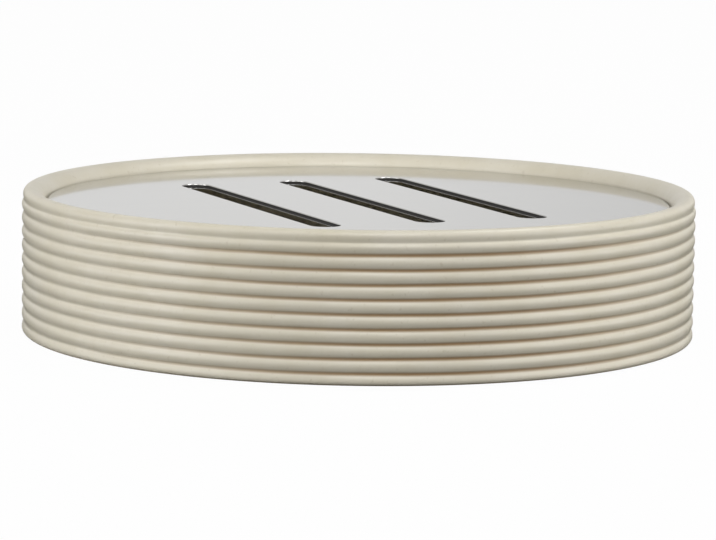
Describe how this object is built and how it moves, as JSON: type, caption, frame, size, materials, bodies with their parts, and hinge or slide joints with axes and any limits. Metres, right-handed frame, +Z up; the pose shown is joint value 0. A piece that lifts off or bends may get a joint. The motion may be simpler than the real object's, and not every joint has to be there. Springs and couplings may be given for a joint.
{
  "type": "soap dish",
  "caption": "Round ribbed ceramic soap dish with a lift-out slotted steel plate that drains into a water well, standing on rubber grip pads.",
  "frame": {"origin": "centre of the base, on the surface that the pads stand on", "axes": "+Z up through the rim, Y along the slots of the drain plate, X across them"},
  "size_m": [0.112, 0.112, 0.0244],
  "materials": {
    "glazed_ceramic": "satin cream glaze over ribs",
    "brushed_steel": "fine straight brushing",
    "grip_rubber": "matte translucent white"
  },
  "bodies": {
    "dish": {"dish_body": "glazed_ceramic", "foot_pad_1": "grip_rubber", "foot_pad_2": "grip_rubber", "foot_pad_3": "grip_rubber", "foot_pad_4": "grip_rubber"},
    "plate": {"drain_plate": "brushed_steel"}
  },
  "joints": [
    {"name": "plate_lift", "type": "slide", "parent": "dish", "child": "plate", "axis": [0, 0, 1], "range_m": [0, 0.03]}
  ]
}
